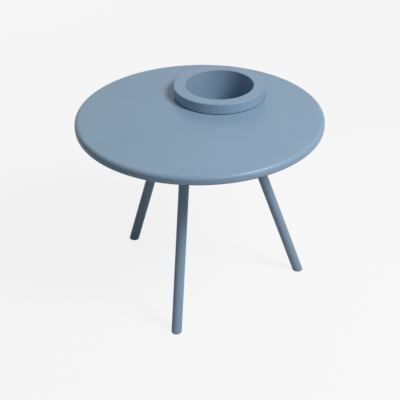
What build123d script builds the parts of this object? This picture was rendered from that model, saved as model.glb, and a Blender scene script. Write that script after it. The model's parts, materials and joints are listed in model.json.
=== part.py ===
from build123d import *
import os
from math import atan2, cos, degrees, hypot, radians, sin

# Round side table of powder-coated steel: a pressed top on splayed tube legs, and a pot that lifts out of it.
# Millimetres, +Z up. The origin is on the floor under the middle of the top, and the pot lies towards +Y.

# Tabletop, one pressed sheet with a turned-down rim
top_radius = 300.0
top_height = 463.0
top_sheet = 2.0
rim_drop = 22.5
rim_bend = 9.0
rim_hem = 10.0
hem_bend = 6.0

# Legs, where their centre lines meet the floor and the top's flat face
leg_radius = 12.5
leg_wall = 1.5
foot_circle = 253.3
leg_top_circle = 95.8

# How far each leg stands from the pot's side of the table, in degrees
right_leg_turn = 62.9
left_leg_turn = 70.7
front_leg_turn = 170.2

# How far each leg's top is turned from its foot, clockwise from above, in degrees
leg_swirl = 4.4

# Feet, moulded glides plugged into the tubes
foot_height = 3.0
foot_edge = 2.0
plug_length = 24.0
plug_clearance = 0.1

# Leg plates and what bolts them to the top
plate_thickness = 4.0
plate_margin = 3.0
spanner_room = 4.0
studs_per_plate = 3
stud_radius = 3.0
stud_clearance = 0.3
stud_end = 2.0
washer_radius = 6.0
washer_thickness = 1.6
nut_flats = 10.0
nut_height = 5.0
thread_clearance = 0.05

# Pot, a drawn bowl under a wide collar
pot_centre_gap = 10.2
bowl_bore = 85.0
bowl_wall = 1.5
bowl_drop = 150.0
bowl_bend = 22.0
collar_width = 29.2
collar_height = 25.0
collar_sheet = 1.5
collar_bend = 1.8
bore_edge = 0.5
seal_gap = 2.0
seal_width = 4.0
seal_grip = 6.0
seal_clearance = 0.1

# Hole in the top that the bowl hangs through, and the shallow seat coined round it for the collar
seat_depth = 0.6
seat_clearance = 1.0
hole_clearance = 2.0
hole_bend = 4.0
hole_flange = 9.0
hole_land = 4.0
plate_clearance = 1.0

# Drain in the bowl's floor and its stopper
drain_radius = 11.0
stopper_clearance = 0.3
stopper_head_radius = 17.0
stopper_head = 4.0
stopper_tail = 5.0
stopper_edge = 1.0
knob_radius = 5.5
knob_neck_radius = 3.5
knob_neck = 4.0

# Heights and circles that follow from the sizes above
top_underside = top_height - top_sheet
plate_underside = top_underside - plate_thickness
washer_underside = plate_underside - washer_thickness
nut_underside = washer_underside - nut_height
leg_swing = leg_top_circle * sin(radians(leg_swirl))
leg_run = hypot(foot_circle - leg_top_circle * cos(radians(leg_swirl)), leg_swing)
leg_splay = atan2(leg_run, top_height)
leg_length = hypot(leg_run, top_height)
leg_mouth = leg_radius / cos(leg_splay)
leg_bore = leg_radius - leg_wall
stud_circle = leg_mouth + spanner_room + washer_radius
plate_radius = stud_circle + washer_radius + plate_margin

collar_radius = bowl_bore + collar_width
pot_offset = pot_centre_gap + collar_radius
bowl_radius = bowl_bore + bowl_wall
bowl_underside = top_height - bowl_drop
bowl_floor = bowl_underside + bowl_wall
collar_underside = top_height + seal_gap
collar_top = collar_underside + collar_height
hole_radius = bowl_radius + hole_clearance
hole_bend_radius = hole_radius + hole_bend
seat_radius = collar_radius + seat_clearance
seat_floor = top_height - seat_depth
seat_sheet = top_sheet - seat_depth
seal_radius = collar_radius - collar_sheet - seal_clearance

pot_side = 90.0
leg_angles = {
    "right": pot_side - right_leg_turn,
    "left": pot_side + left_leg_turn,
    "front": pot_side - front_leg_turn,
}
lathe_plane = Plane.XZ
pot_plane = Plane.XZ.offset(-pot_offset)
pot_axis = Axis((0, pot_offset, 0), (0, 0, 1))
floor_plane = Plane.XY
foot_plane = Plane.XY.offset(foot_height)
plate_plane = Plane.XY.offset(plate_underside)


def on_circle(radius, angle, height):
    """Point at a radius and angle round the table's middle."""
    return Vector(radius * cos(radians(angle)), radius * sin(radians(angle)), height)


def leg_ends(angle):
    """Where a leg's centre line meets the floor and the top's flat face."""
    return on_circle(foot_circle, angle, 0), on_circle(leg_top_circle, angle - leg_swirl, top_height)


def leg_plane(angle):
    """Plane square to a leg, where its centre line meets the floor."""
    foot, crown = leg_ends(angle)
    return Plane(origin=foot, z_dir=crown - foot)


def plate_centre(angle):
    """Where a leg's centre line meets the underside of its plate, seen from above."""
    foot, crown = leg_ends(angle)
    centre = foot + (crown - foot) * (plate_underside / top_height)
    return Vector(centre.X, centre.Y, 0)


def leg_rod(angle, radius):
    """Solid rod along a leg's centre line, running past the floor and the top."""
    with BuildPart() as rod:
        with BuildSketch(leg_plane(angle).offset(-leg_radius)):
            Circle(radius)
        extrude(amount=leg_length + 2 * leg_radius)
    return rod.part


def bent_sheet(points, bends, thickness, side):
    """Outline of a sheet that follows a line with rounded bends, as thick as the sheet to one side of it."""
    with BuildLine() as outline:
        FilletPolyline(*points, radius=bends)
        offset(amount=thickness, side=side)
    return outline.edges()


def stud_points():
    """Centres of all the studs, each set turned so that none stands outward of the tube."""
    points = []
    for angle in leg_angles.values():
        centre = plate_centre(angle)
        inward = degrees(atan2(-centre.Y, -centre.X))
        for index in range(studs_per_plate):
            turn = inward + index * 360 / studs_per_plate
            points.append(centre + on_circle(stud_circle, turn, 0))
    return points


def finish(part, name):
    """Label a piece and write it under its name."""
    part.label = name
    export_step(part, f"parts/{name}.step")


os.makedirs("parts", exist_ok=True)

# Tabletop: the flat, rounded rim and hem in one section, then the seat, and the hole with its edge drawn down
with BuildPart() as tabletop:
    with BuildSketch(lathe_plane):
        rim_foot = top_height - rim_drop
        rim_edge = [(top_radius, top_height), (top_radius, rim_foot), (top_radius - rim_hem, rim_foot)]
        make_face(bent_sheet([(0, top_height), *rim_edge], [rim_bend, hem_bend], top_sheet, Side.RIGHT))
    revolve(axis=Axis.Z)
    with BuildSketch(Plane.XY.offset(top_height)):
        with Locations((0, pot_offset)):
            Circle(hole_bend_radius)
    extrude(amount=-top_sheet, mode=Mode.SUBTRACT)
    with BuildSketch(Plane.XY.offset(top_height)):
        with Locations((0, pot_offset)):
            Circle(seat_radius)
    extrude(amount=-seat_depth, mode=Mode.SUBTRACT)
    with BuildSketch(pot_plane):
        flange_start = (hole_bend_radius + hole_land, seat_floor)
        flange_edge = [(hole_radius, seat_floor), (hole_radius, seat_floor - hole_flange)]
        make_face(bent_sheet([flange_start, *flange_edge], [hole_bend], seat_sheet, Side.LEFT))
    revolve(axis=pot_axis)
finish(tabletop.part, "tabletop")

# Legs, their feet and the plates that carry them
for side, angle in leg_angles.items():
    with BuildPart() as leg:
        add(leg_rod(angle, leg_radius))
        add(leg_rod(angle, leg_bore), mode=Mode.SUBTRACT)
        split(bisect_by=foot_plane, keep=Keep.TOP)
        split(bisect_by=plate_plane, keep=Keep.BOTTOM)
    finish(leg.part, f"{side}_leg")

    with BuildPart() as plug:
        add(leg_rod(angle, leg_bore - plug_clearance))
        split(bisect_by=foot_plane, keep=Keep.TOP)
        split(bisect_by=foot_plane.offset(plug_length), keep=Keep.BOTTOM)

    with BuildPart() as foot:
        add(leg_rod(angle, leg_radius))
        split(bisect_by=floor_plane, keep=Keep.TOP)
        split(bisect_by=foot_plane, keep=Keep.BOTTOM)
        fillet(foot.faces().filter_by(Axis.Z).sort_by(Axis.Z)[0].edges(), radius=foot_edge)
        add(plug.part)
    finish(foot.part, f"{side}_foot")

    with BuildPart() as plate:
        with BuildSketch(plate_plane):
            with Locations(plate_centre(angle)):
                Circle(plate_radius)
            with Locations(*stud_points()):
                Circle(stud_radius + stud_clearance, mode=Mode.SUBTRACT)
            with Locations((0, pot_offset)):
                Circle(hole_bend_radius + plate_clearance, mode=Mode.SUBTRACT)
        extrude(amount=plate_thickness)
    finish(plate.part, f"{side}_leg_plate")

# Studs welded under the top, with a washer and a nut on each
with BuildPart() as studs:
    with BuildSketch(Plane.XY.offset(nut_underside - stud_end)):
        with Locations(*stud_points()):
            Circle(stud_radius)
    extrude(amount=top_underside - nut_underside + stud_end)
finish(studs.part, "plate_studs")

with BuildPart() as washers:
    with BuildSketch(Plane.XY.offset(washer_underside)):
        with Locations(*stud_points()):
            Circle(washer_radius)
            Circle(stud_radius + stud_clearance, mode=Mode.SUBTRACT)
    extrude(amount=washer_thickness)
finish(washers.part, "plate_washers")

with BuildPart() as nuts:
    with BuildSketch(Plane.XY.offset(nut_underside)):
        with Locations(*stud_points()):
            RegularPolygon(nut_flats / 2, 6, major_radius=False)
            Circle(stud_radius + thread_clearance, mode=Mode.SUBTRACT)
    extrude(amount=nut_height)
finish(nuts.part, "plate_nuts")

# Pot: the bowl, with the drain in its floor
with BuildPart() as bowl:
    with BuildSketch(pot_plane):
        bowl_edge = [(bowl_radius, bowl_underside), (bowl_radius, collar_top - collar_sheet)]
        make_face(bent_sheet([(0, bowl_underside), *bowl_edge], [bowl_bend], bowl_wall, Side.LEFT))
    revolve(axis=pot_axis)
    with BuildSketch(Plane.XY.offset(bowl_underside)):
        with Locations((0, pot_offset)):
            Circle(drain_radius)
    extrude(amount=bowl_wall, mode=Mode.SUBTRACT)
finish(bowl.part, "pot_bowl")

# The collar lies on the bowl's mouth, and its skirt hangs round the hole
with BuildPart() as collar:
    with BuildSketch(pot_plane):
        collar_edge = [(collar_radius, collar_top), (collar_radius, collar_underside)]
        collar_lip = (bowl_bore, collar_top)
        make_face(bent_sheet([collar_lip, *collar_edge], [collar_bend], collar_sheet, Side.RIGHT))
    revolve(axis=pot_axis)
    collar_face = collar.faces().filter_by(Axis.Z).sort_by(Axis.Z)[-1]
    fillet(collar_face.edges().sort_by(SortBy.LENGTH)[0], radius=bore_edge)
finish(collar.part, "rim_collar")

# Rubber ring inside the skirt, which holds the collar clear of the top
with BuildPart() as seal:
    with BuildSketch(Plane.XY.offset(seat_floor)):
        with Locations((0, pot_offset)):
            Circle(seal_radius)
            Circle(seal_radius - seal_width, mode=Mode.SUBTRACT)
    extrude(amount=seat_depth + seal_gap + seal_grip)
finish(seal.part, "rim_seal")

# Rubber stopper: a tail in the drain, a head on the bowl's floor and a knob to pull it by
with BuildPart() as stopper:
    with BuildSketch(Plane.XY.offset(bowl_underside - stopper_tail)):
        with Locations((0, pot_offset)):
            Circle(drain_radius - stopper_clearance)
    extrude(amount=bowl_wall + stopper_tail)
    chamfer(stopper.faces().filter_by(Axis.Z).sort_by(Axis.Z)[0].edges(), length=stopper_edge)
    with BuildSketch(Plane.XY.offset(bowl_floor)):
        with Locations((0, pot_offset)):
            Circle(stopper_head_radius)
    extrude(amount=stopper_head)
    fillet(stopper.faces().filter_by(Axis.Z).sort_by(Axis.Z)[-1].edges(), radius=stopper_edge)
    with BuildSketch(Plane.XY.offset(bowl_floor + stopper_head)):
        with Locations((0, pot_offset)):
            Circle(knob_neck_radius)
    extrude(amount=knob_neck + knob_radius)
    with Locations((0, pot_offset, bowl_floor + stopper_head + knob_neck + knob_radius)):
        Sphere(knob_radius)
finish(stopper.part, "drain_plug")
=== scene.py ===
import json
import math

import bmesh
import bpy
from mathutils import Matrix, Vector


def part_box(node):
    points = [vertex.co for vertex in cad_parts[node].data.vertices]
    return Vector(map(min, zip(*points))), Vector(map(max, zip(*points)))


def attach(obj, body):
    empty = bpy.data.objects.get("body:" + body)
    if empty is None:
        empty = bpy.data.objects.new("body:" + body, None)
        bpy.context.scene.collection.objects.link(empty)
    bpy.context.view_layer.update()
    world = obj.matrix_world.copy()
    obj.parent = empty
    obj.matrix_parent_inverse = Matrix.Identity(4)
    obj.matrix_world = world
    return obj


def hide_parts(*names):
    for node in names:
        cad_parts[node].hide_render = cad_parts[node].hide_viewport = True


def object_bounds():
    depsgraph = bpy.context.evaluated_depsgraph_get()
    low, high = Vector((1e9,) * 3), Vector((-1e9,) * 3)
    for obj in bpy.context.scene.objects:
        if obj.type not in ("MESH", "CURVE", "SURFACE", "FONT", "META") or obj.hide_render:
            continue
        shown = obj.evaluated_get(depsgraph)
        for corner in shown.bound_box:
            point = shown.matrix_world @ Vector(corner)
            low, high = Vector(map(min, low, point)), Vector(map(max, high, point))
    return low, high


# Looks of a round side table with a lift-out pot.
# Metres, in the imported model's own frame: +Z up, with the pot towards +Y.
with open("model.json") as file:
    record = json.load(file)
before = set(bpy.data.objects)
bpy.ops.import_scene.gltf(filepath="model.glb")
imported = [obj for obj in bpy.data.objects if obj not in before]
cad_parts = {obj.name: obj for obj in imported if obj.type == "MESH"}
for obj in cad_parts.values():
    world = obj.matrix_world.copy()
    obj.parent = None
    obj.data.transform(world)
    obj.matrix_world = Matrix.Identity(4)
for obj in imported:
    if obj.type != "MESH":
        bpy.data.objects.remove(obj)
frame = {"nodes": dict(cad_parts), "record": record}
cad_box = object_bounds()
sides = ("right", "left", "front")
up = Vector((0.0, 0.0, 1.0))

# Camera: where it stands round the table and where it looks, in metres and degrees, and its lens in mm
camera_azimuth = 24.05
camera_heading = 24.086
camera_reach = 2.3677
camera_height = 1.6568
camera_pitch = 31.17
camera_roll = -0.752
camera_lens = 99.0
sensor_width = 36.0
camera_clip_end = 100.0

# Soft lamps aimed at the top: degrees, with the azimuth from the camera to its right, metres and watts
key_azimuth = 56.5
key_elevation = 45.0
key_distance = 2.8
key_width = 1.1
key_power = 77.0
back_azimuth = 205.0
back_elevation = 12.0
back_distance = 3.0
back_width = 2.0
back_power = 26.0

# Colours, linear
coat_colour = (0.222, 0.333, 0.452)
glide_colour = (0.150, 0.220, 0.300)
rubber_colour = (0.020, 0.021, 0.023)
steel_colour = (0.60, 0.59, 0.57)
floor_colour = (0.90, 0.90, 0.90)
bounce_colour = (0.45, 0.45, 0.45)
backdrop_colour = (0.943, 0.943, 0.943)
room_colour = (1.00, 1.00, 1.00)

# Room: how far the floor goes, how much of the lamps' light shows on it, and how bright backdrop and room are
floor_reach = 30.0
shadow_share = 0.10
backdrop_level = 0.917
room_level = 0.18

# Studs, washers and nuts under each leg's plate
studs_per_plate = 3
stud_inset = 0.0090
stud_radius = 0.0030
thread_pitch = 0.0010
thread_depth = 0.0006
thread_length = 0.0036
washer_radius = 0.0060
washer_bore = 0.0033
washer_edge = 0.00032
nut_flats = 0.0100
nut_bore = 0.00305
nut_sink = 0.0003
nut_face_radius = 0.0048
nut_chamfer = math.radians(30.0)

# Weld beads: sizes and length of a ripple, then shares of a bead's size between ripples and out of its corner
leg_radius = 0.0125
leg_bead = 0.0022
collar_bead = 0.0014
bead_ripple = 0.0030
bead_valley = 0.88
bead_stand_off = 0.20

# Seal under the collar
seal_width = 0.0040
seal_lip = 0.0014
seal_edge = 0.0005
seal_groove = 0.0008

# Stopper in the bowl's drain
bowl_wall = 0.0015
stopper_tail_radius = 0.0107
stopper_ribs = 3
stopper_rib = 0.0005
stopper_head_radius = 0.0170
stopper_head = 0.0040
stopper_edge = 0.0010
stopper_groove = 0.0007
stopper_groove_inset = 0.0035
stopper_flare = 0.0022
knob_radius = 0.0055
knob_neck_radius = 0.0035

# Outline of one rib: share of the ribs' spacing, and share of the rib's height
rib_outline = ((0.30, 0.0), (0.42, 1.0), (0.58, 1.0), (0.70, 0.0))

# How finely round shapes are divided, and what counts as one point and as a sharp edge
stud_steps = 24
rows_per_pitch = 6
nut_steps = 48
washer_steps = 40
washer_edge_steps = 3
leg_bead_steps = 160
collar_bead_steps = 720
bead_sides = 10
seal_steps = 180
seal_edge_steps = 6
stopper_steps = 72
stopper_edge_steps = 5
flare_steps = 6
knob_steps = 18
same_point = 1e-7
sharp_angle = math.radians(38.0)

# Levels that most of a noise lies between
noise_low = 0.3
noise_high = 0.7


def new_material(name):
    """Empty node material with its output."""
    material = bpy.data.materials.new(name)
    material.use_nodes = True
    tree = material.node_tree
    tree.nodes.clear()
    return material, tree, tree.nodes.new("ShaderNodeOutputMaterial")


def new_finish(name):
    """Node material of one principled shader."""
    material, tree, output = new_material(name)
    shader = tree.nodes.new("ShaderNodeBsdfPrincipled")
    tree.links.new(shader.outputs["BSDF"], output.inputs["Surface"])
    return material, tree, shader


def noise(tree, scale, detail=2.0, stretch=(1.0, 1.0, 1.0)):
    """Noise over the piece's own coordinates, in features per metre."""
    coords = tree.nodes.new("ShaderNodeTexCoord")
    mapping = tree.nodes.new("ShaderNodeMapping")
    mapping.inputs["Scale"].default_value = stretch
    texture = tree.nodes.new("ShaderNodeTexNoise")
    texture.inputs["Scale"].default_value = scale
    texture.inputs["Detail"].default_value = detail
    tree.links.new(coords.outputs["Object"], mapping.inputs["Vector"])
    tree.links.new(mapping.outputs["Vector"], texture.inputs["Vector"])
    return texture.outputs["Fac"]


def spread(tree, value, low, high):
    """A noise value spread between two levels."""
    node = tree.nodes.new("ShaderNodeMapRange")
    node.inputs["From Min"].default_value = noise_low
    node.inputs["From Max"].default_value = noise_high
    node.inputs["To Min"].default_value = low
    node.inputs["To Max"].default_value = high
    tree.links.new(value, node.inputs["Value"])
    return node.outputs["Result"]


def tint(tree, colour, value, low, high):
    """A colour made darker or lighter by a noise value."""
    node = tree.nodes.new("ShaderNodeVectorMath")
    node.operation = "SCALE"
    node.inputs["Vector"].default_value = colour
    tree.links.new(spread(tree, value, low, high), node.inputs["Scale"])
    return node.outputs["Vector"]


def added(tree, first, second, share):
    """The first value plus a share of the second."""
    node = tree.nodes.new("ShaderNodeMath")
    node.operation = "MULTIPLY_ADD"
    node.inputs[1].default_value = share
    tree.links.new(second, node.inputs[0])
    tree.links.new(first, node.inputs[2])
    return node.outputs["Value"]


def either(tree, first, second):
    """The larger of two values."""
    node = tree.nodes.new("ShaderNodeMath")
    node.operation = "MAXIMUM"
    tree.links.new(first, node.inputs[0])
    tree.links.new(second, node.inputs[1])
    return node.outputs["Value"]


def mixed(tree, first, second):
    """Mix of two shaders, whose Fac is the share of the second."""
    node = tree.nodes.new("ShaderNodeMixShader")
    tree.links.new(first, node.inputs[1])
    tree.links.new(second, node.inputs[2])
    return node


def bump(tree, shader, height, strength, depth):
    """Bump of a given depth in metres."""
    node = tree.nodes.new("ShaderNodeBump")
    node.inputs["Strength"].default_value = strength
    node.inputs["Distance"].default_value = depth
    tree.links.new(height, node.inputs["Height"])
    tree.links.new(node.outputs["Normal"], shader.inputs["Normal"])


def powder_coat():
    """Satin powder coat: a fine orange peel, with slight clouds of tone and gloss."""
    material, tree, shader = new_finish("powder_coat")
    clouds = noise(tree, scale=7.0, detail=3.0)
    patches = noise(tree, scale=22.0, detail=4.0)
    peel = noise(tree, scale=320.0)
    grain = noise(tree, scale=1400.0)
    tone = tint(tree, coat_colour, added(tree, clouds, grain, share=0.35), low=0.95, high=1.03)
    tree.links.new(tone, shader.inputs["Base Color"])
    tree.links.new(spread(tree, patches, low=0.29, high=0.35), shader.inputs["Roughness"])
    shader.inputs["Specular IOR Level"].default_value = 0.30
    bump(tree, shader, added(tree, peel, grain, share=0.4), strength=0.10, depth=0.0003)
    return material


def glide_plastic():
    """Moulded glide: coat-coloured plastic with a fine matt grain."""
    material, tree, shader = new_finish("glide_plastic")
    clouds = noise(tree, scale=160.0, detail=3.0)
    patches = noise(tree, scale=400.0)
    grain = noise(tree, scale=2500.0)
    tree.links.new(tint(tree, glide_colour, clouds, low=0.9, high=1.05), shader.inputs["Base Color"])
    tree.links.new(spread(tree, patches, low=0.5, high=0.65), shader.inputs["Roughness"])
    bump(tree, shader, grain, strength=0.15, depth=0.0002)
    return material


def black_rubber():
    """Matt rubber, a little dusty, with a fine tooth."""
    material, tree, shader = new_finish("black_rubber")
    dust = noise(tree, scale=90.0, detail=4.0)
    patches = noise(tree, scale=300.0, detail=3.0)
    tooth = noise(tree, scale=1800.0, detail=3.0)
    tree.links.new(tint(tree, rubber_colour, dust, low=0.7, high=1.6), shader.inputs["Base Color"])
    tree.links.new(spread(tree, patches, low=0.6, high=0.8), shader.inputs["Roughness"])
    bump(tree, shader, tooth, strength=0.25, depth=0.0002)
    return material


def stainless():
    """Plain stainless fastener, with fine drawing marks along its length."""
    material, tree, shader = new_finish("stainless")
    shader.inputs["Metallic"].default_value = 1.0
    clouds = noise(tree, scale=60.0, detail=3.0)
    marks = noise(tree, scale=900.0, detail=4.0, stretch=(1.0, 1.0, 0.06))
    tree.links.new(tint(tree, steel_colour, clouds, low=0.85, high=1.05), shader.inputs["Base Color"])
    tree.links.new(spread(tree, marks, low=0.22, high=0.42), shader.inputs["Roughness"])
    bump(tree, shader, marks, strength=0.08, depth=0.0001)
    return material


def floor_material():
    """Floor with a mild bounce, pale in mirrors; the camera sees the backdrop's tone with a soft shadow."""
    material, tree, output = new_material("floor")
    path = tree.nodes.new("ShaderNodeLightPath")
    bounce = tree.nodes.new("ShaderNodeBsdfDiffuse")
    bounce.inputs["Color"].default_value = (*bounce_colour, 1.0)
    pale = tree.nodes.new("ShaderNodeBsdfDiffuse")
    pale.inputs["Color"].default_value = (*floor_colour, 1.0)
    glow = tree.nodes.new("ShaderNodeEmission")
    glow.inputs["Color"].default_value = (*backdrop_colour, 1.0)
    shaded = mixed(tree, glow.outputs["Emission"], pale.outputs["BSDF"])
    shaded.inputs["Fac"].default_value = shadow_share
    mirrored = mixed(tree, bounce.outputs["BSDF"], pale.outputs["BSDF"])
    in_mirror = either(tree, path.outputs["Is Glossy Ray"], path.outputs["Is Transmission Ray"])
    tree.links.new(in_mirror, mirrored.inputs["Fac"])
    seen = mixed(tree, mirrored.outputs["Shader"], shaded.outputs["Shader"])
    tree.links.new(path.outputs["Is Camera Ray"], seen.inputs["Fac"])
    tree.links.new(seen.outputs["Shader"], output.inputs["Surface"])
    return material


def dress():
    """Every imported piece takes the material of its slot."""
    for entry in frame["record"]["subparts"]:
        piece = frame["nodes"][entry["node"]]
        piece.data.materials.clear()
        piece.data.materials.append(materials[entry["material_slot"]])


def turns(steps):
    """Angles spread evenly over a full turn."""
    return [2 * math.pi * step / steps for step in range(steps)]


def polar(radius, angle, height=0.0):
    """Point at a radius and angle round the Z axis."""
    return Vector((radius * math.cos(angle), radius * math.sin(angle), height))


def rings(section, steps):
    """Ring of points round the Z axis for each (radius, height) of a section."""
    return [[polar(radius, angle, height) for angle in turns(steps)] for radius, height in section]


def skin(rows, loop):
    """Quads between neighbouring rings of points; a loop joins the last ring to the first."""
    width = len(rows[0])
    faces = []
    for row in range(len(rows) if loop else len(rows) - 1):
        here = row * width
        beside = (row + 1) % len(rows) * width
        for column in range(width):
            after = (column + 1) % width
            faces.append((here + column, here + after, beside + after, beside + column))
    return [point for row in rows for point in row], faces


def lathe(section, loop, steps):
    """Turned shape: (radius, height) points carried round the Z axis."""
    return skin(rings(section, steps), loop)


def moved(shape, place):
    """A shape moved sideways to a place."""
    points, faces = shape
    return [point + Vector((place.x, place.y, 0.0)) for point in points], faces


def arc(x, y, radius, first, last, steps):
    """Points of an arc between two angles, in degrees."""
    angles = [math.radians(first + (last - first) * step / steps) for step in range(steps + 1)]
    return [(x + radius * math.cos(angle), y + radius * math.sin(angle)) for angle in angles]


def rounded(corners, steps):
    """Outline through (x, y, radius) corners, each rounded by an arc."""
    outline = []
    for index, (x, y, radius) in enumerate(corners):
        here = Vector((x, y))
        back = (Vector(corners[index - 1][:2]) - here).normalized()
        ahead = (Vector(corners[(index + 1) % len(corners)][:2]) - here).normalized()
        half = back.angle(ahead) / 2
        centre = here + (back + ahead).normalized() * radius / math.sin(half)
        start = here + back * radius / math.tan(half) - centre
        end = here + ahead * radius / math.tan(half) - centre
        sweep = -start.angle_signed(end, 0.0)
        for step in range(steps + 1):
            outline.append(tuple(centre + Matrix.Rotation(sweep * step / steps, 2) @ start))
    return outline


def middle(node):
    """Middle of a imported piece."""
    low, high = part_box(node)
    return (low + high) / 2


def add_piece(name, shapes, slot, body, stands_for=None):
    """New piece of separate closed shapes, riding on a body."""
    built = bmesh.new()
    for points, faces in shapes:
        corners = [built.verts.new(point) for point in points]
        for face in faces:
            built.faces.new([corners[index] for index in face])
    bmesh.ops.remove_doubles(built, verts=built.verts, dist=same_point)
    bmesh.ops.recalc_face_normals(built, faces=built.faces)
    mesh = bpy.data.meshes.new(name)
    built.to_mesh(mesh)
    built.free()
    mesh.shade_smooth()
    mesh.set_sharp_from_angle(angle=sharp_angle)
    mesh.materials.append(materials[slot])
    piece = bpy.data.objects.new(name, mesh)
    bpy.context.scene.collection.objects.link(piece)
    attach(piece, body)
    if stands_for:
        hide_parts(stands_for)


def stud_places():
    """Middles of the studs, the first on each leg's plate towards the table's middle."""
    places = []
    for side in sides:
        low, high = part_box(side + "_leg_plate")
        plate = (low + high) / 2
        reach = (high.x - low.x) / 2 - stud_inset
        inward = math.atan2(-plate.y, -plate.x)
        places += [plate + polar(reach, inward + turn) for turn in turns(studs_per_plate)]
    return places


def threaded_stud(low, high):
    """Stud with a chamfered, threaded end below its nut."""
    rows = rings([(0.0, low)], stud_steps)
    for row in range(round(rows_per_pitch * thread_length / thread_pitch) + 1):
        height = row * thread_pitch / rows_per_pitch
        ring = []
        for angle in turns(stud_steps):
            share = (height / thread_pitch - angle / (2 * math.pi)) % 1.0
            groove = thread_depth * (1 - abs(2 * share - 1))
            radius = min(stud_radius - groove, stud_radius - thread_depth + height)
            ring.append(polar(radius, angle, low + height))
        rows.append(ring)
    shank = [(stud_radius, low + thread_length + thread_pitch), (stud_radius, high), (0.0, high)]
    return skin(rows + rings(shank, stud_steps), loop=False)


def hexagon_nut(low, high):
    """Nut with both ends chamfered and its bore countersunk."""
    sixth = 2 * math.pi / 6
    rows = []
    for face, inward in ((low, 1.0), (high, -1.0)):
        rims = [[], [], [], []]
        for angle in turns(nut_steps):
            flank = nut_flats / 2 / math.cos(angle % sixth - sixth / 2)
            chamfer = (flank - nut_face_radius) * math.tan(nut_chamfer)
            rim = [(nut_bore, nut_sink), (nut_bore + nut_sink, 0.0), (nut_face_radius, 0.0), (flank, chamfer)]
            for ring, (radius, depth) in zip(rims, rim):
                ring.append(polar(radius, angle, face + inward * depth))
        rows += rims if face == low else rims[::-1]
    return skin(rows, loop=True)


def flat_washer(low, high):
    """Washer with rounded edges."""
    corners = [(washer_bore, low), (washer_radius, low), (washer_radius, high), (washer_bore, high)]
    section = rounded([(*corner, washer_edge) for corner in corners], washer_edge_steps)
    return lathe(section, loop=True, steps=washer_steps)


def add_fasteners():
    """Threaded studs, chamfered nuts and edge-rounded washers under the leg plates."""
    kinds = (
        ("threaded_studs", threaded_stud, "plate_studs"),
        ("hexagon_nuts", hexagon_nut, "plate_nuts"),
        ("flat_washers", flat_washer, "plate_washers"),
    )
    for name, shape, node in kinds:
        low, high = (corner.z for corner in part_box(node))
        shapes = [moved(shape(low, high), place) for place in stud_places()]
        add_piece(name, shapes, "stainless", "table", node)


def weld_bead(points, outward, radius):
    """Weld bead along a closed line in the corner under a sheet, with even ripples."""
    length = sum((point - points[index - 1]).length for index, point in enumerate(points))
    ripples = round(length / bead_ripple)
    rows = []
    for index, (point, out) in enumerate(zip(points, outward)):
        crest = abs(math.sin(math.pi * ripples * index / len(points)))
        swell = radius * (bead_valley + (1 - bead_valley) * crest)
        core = point + (out - up) * radius * bead_stand_off
        rows.append([core + (out * math.cos(a) - up * math.sin(a)) * swell for a in turns(bead_sides)])
    return skin(rows, loop=True)


def add_leg_welds():
    """Beads where the tubes meet the undersides of their plates."""
    mounts = {mount["name"]: Vector(mount["pos_m"]) for mount in frame["record"]["mounts"]}
    beads = []
    for side in sides:
        crown = middle(side + "_leg_plate")
        crown.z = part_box(side + "_leg_plate")[0].z
        along = (crown - mounts["floor_" + side]).normalized()
        lean = Vector((along.x, along.y, 0.0)).normalized()
        across = up.cross(lean)
        long_radius = leg_radius / along.z
        points = []
        outward = []
        for angle in turns(leg_bead_steps):
            ahead = lean * math.cos(angle)
            aside = across * math.sin(angle)
            points.append(crown + ahead * long_radius + aside * leg_radius)
            outward.append((ahead * leg_radius + aside * long_radius).normalized())
        beads.append(weld_bead(points, outward, leg_bead))
    add_piece("leg_welds", beads, "powder_coat", "table")


def add_collar_weld():
    """Bead round the bowl's mouth, under the collar."""
    low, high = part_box("pot_bowl")
    mouth = middle("pot_bowl")
    mouth.z = high.z
    outward = [polar(1.0, angle) for angle in turns(collar_bead_steps)]
    points = [mouth + out * (high.x - low.x) / 2 for out in outward]
    add_piece("collar_weld", [weld_bead(points, outward, collar_bead)], "powder_coat", "pot")


def add_seal():
    """Moulded ring with a round lip below and a groove in its inner side."""
    low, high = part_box("rim_seal")
    outer = (high.x - low.x) / 2
    inner = outer - seal_width
    waist = (low.z + high.z) / 2
    corners = [
        (inner, low.z, seal_lip),
        (outer, low.z, seal_lip),
        (outer, high.z, seal_edge),
        (inner, high.z, seal_edge),
        (inner, waist + seal_groove, seal_edge / 2),
        (inner + seal_groove, waist, seal_edge / 2),
        (inner, waist - seal_groove, seal_edge / 2),
    ]
    ring = lathe(rounded(corners, seal_edge_steps), loop=True, steps=seal_steps)
    add_piece("moulded_seal", [moved(ring, middle("rim_seal"))], "black_rubber", "pot", "rim_seal")


def stopper_tail(low, seat):
    """Section of the stopper's tail, up to its head: a chamfered end and ribs that grip the drain."""
    core = stopper_tail_radius - stopper_rib
    section = [(0.0, low), (core - stopper_rib, low), (core, low + stopper_rib)]
    spacing = (seat - low - 2 * stopper_rib) / stopper_ribs
    for rib in range(stopper_ribs):
        foot = low + stopper_rib + rib * spacing
        section += [(core + stopper_rib * out, foot + spacing * share) for share, out in rib_outline]
    return section + [(core, seat)]


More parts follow.
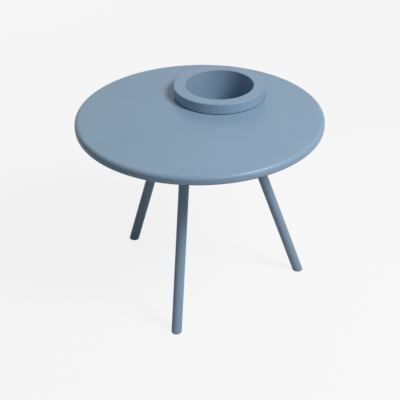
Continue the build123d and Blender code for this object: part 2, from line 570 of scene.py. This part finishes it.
def stopper_crown(seat, knob):
    """Section of the stopper's head, with a groove in its face, and of the round knob on its flared neck."""
    face = seat + stopper_head
    rim = stopper_head_radius - stopper_edge
    groove = stopper_head_radius - stopper_groove_inset
    neck = knob_neck_radius + stopper_flare
    tuck = math.degrees(math.acos(knob_neck_radius / knob_radius))
    section = arc(rim, seat + stopper_edge, stopper_edge, -90.0, 0.0, stopper_edge_steps)
    section += arc(rim, face - stopper_edge, stopper_edge, 0.0, 90.0, stopper_edge_steps)
    section += [(groove + stopper_groove, face), (groove, face - stopper_groove)]
    section.append((groove - stopper_groove, face))
    section += arc(neck, face + stopper_flare, stopper_flare, -90.0, -180.0, flare_steps)
    section += arc(0.0, knob, knob_radius, -tuck, 90.0, knob_steps)
    return section


def add_stopper():
    """Rubber stopper: ribbed tail, rimmed head and a round knob on a flared neck."""
    low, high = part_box("drain_plug")
    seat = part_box("pot_bowl")[0].z + bowl_wall
    section = stopper_tail(low.z, seat) + stopper_crown(seat, high.z - knob_radius)
    shape = lathe(section, loop=False, steps=stopper_steps)
    add_piece("rubber_stopper", [moved(shape, middle("drain_plug"))], "black_rubber", "plug", "drain_plug")


def add_floor():
    """Wide floor under the feet."""
    mesh = bpy.data.meshes.new("floor")
    corners = [(-floor_reach, -floor_reach), (floor_reach, -floor_reach),
               (floor_reach, floor_reach), (-floor_reach, floor_reach)]
    mesh.from_pydata([(x, y, 0.0) for x, y in corners], [], [(0, 1, 2, 3)])
    floor = bpy.data.objects.new("floor", mesh)
    bpy.context.scene.collection.objects.link(floor)
    mesh.materials.append(floor_material())


def add_world():
    """Even grey room light; the camera and reflections see the backdrop's plain tone in its place."""
    world = bpy.data.worlds.new("room")
    bpy.context.scene.world = world
    world.use_nodes = True
    tree = world.node_tree
    tree.nodes.clear()
    output = tree.nodes.new("ShaderNodeOutputWorld")
    room = tree.nodes.new("ShaderNodeBackground")
    room.inputs["Color"].default_value = (*room_colour, 1.0)
    room.inputs["Strength"].default_value = room_level
    backdrop = tree.nodes.new("ShaderNodeBackground")
    backdrop.inputs["Color"].default_value = (*backdrop_colour, 1.0)
    backdrop.inputs["Strength"].default_value = backdrop_level
    path = tree.nodes.new("ShaderNodeLightPath")
    in_mirror = either(tree, path.outputs["Is Glossy Ray"], path.outputs["Is Transmission Ray"])
    seen = mixed(tree, room.outputs["Background"], backdrop.outputs["Background"])
    tree.links.new(either(tree, path.outputs["Is Camera Ray"], in_mirror), seen.inputs["Fac"])
    tree.links.new(seen.outputs["Shader"], output.inputs["Surface"])


def add_softbox(name, azimuth, elevation, distance, width, power, mirrored=True):
    """Square soft lamp aimed at the top; where it isn't mirrored, gloss doesn't show it."""
    turn = math.radians(camera_azimuth + azimuth)
    rise = math.radians(elevation)
    target = Vector((0.0, 0.0, cad_box[1].z))
    towards = Vector((math.sin(turn) * math.cos(rise), -math.cos(turn) * math.cos(rise), math.sin(rise)))
    lamp = bpy.data.lights.new(name, "AREA")
    lamp.shape = "SQUARE"
    lamp.size = width
    lamp.energy = power
    box = bpy.data.objects.new(name, lamp)
    box.location = target + towards * distance
    box.rotation_mode = "QUATERNION"
    box.rotation_quaternion = (-towards).to_track_quat("-Z", "Y")
    box.visible_glossy = mirrored
    bpy.context.scene.collection.objects.link(box)


def add_camera():
    """Camera of the photograph, level but for a slight roll."""
    stand = math.radians(camera_azimuth)
    turn = math.radians(camera_heading)
    pitch = math.radians(camera_pitch)
    roll = math.radians(camera_roll)
    ahead = Vector((-math.sin(turn) * math.cos(pitch), math.cos(turn) * math.cos(pitch), -math.sin(pitch)))
    level = Vector((math.cos(turn), math.sin(turn), 0.0))
    right = level * math.cos(roll) + level.cross(ahead) * math.sin(roll)
    above = right.cross(ahead)
    data = bpy.data.cameras.new("camera")
    data.lens = camera_lens
    data.sensor_width = sensor_width
    data.clip_end = camera_clip_end
    camera = bpy.data.objects.new("camera", data)
    place = Vector((camera_reach * math.sin(stand), -camera_reach * math.cos(stand), camera_height))
    axes = Matrix((right, above, -ahead)).transposed().to_4x4()
    camera.matrix_world = Matrix.Translation(place) @ axes
    bpy.context.scene.collection.objects.link(camera)
    bpy.context.scene.camera = camera


materials = {
    "powder_coat": powder_coat(),
    "stainless": stainless(),
    "black_rubber": black_rubber(),
    "glide_plastic": glide_plastic(),
}
dress()
add_fasteners()
add_leg_welds()
add_collar_weld()
add_seal()
add_stopper()
add_floor()
add_world()
add_softbox("key", key_azimuth, key_elevation, key_distance, key_width, key_power)
add_softbox("back", back_azimuth, back_elevation, back_distance, back_width, back_power, mirrored=False)
add_camera()
bpy.context.scene.view_settings.view_transform = "Standard"
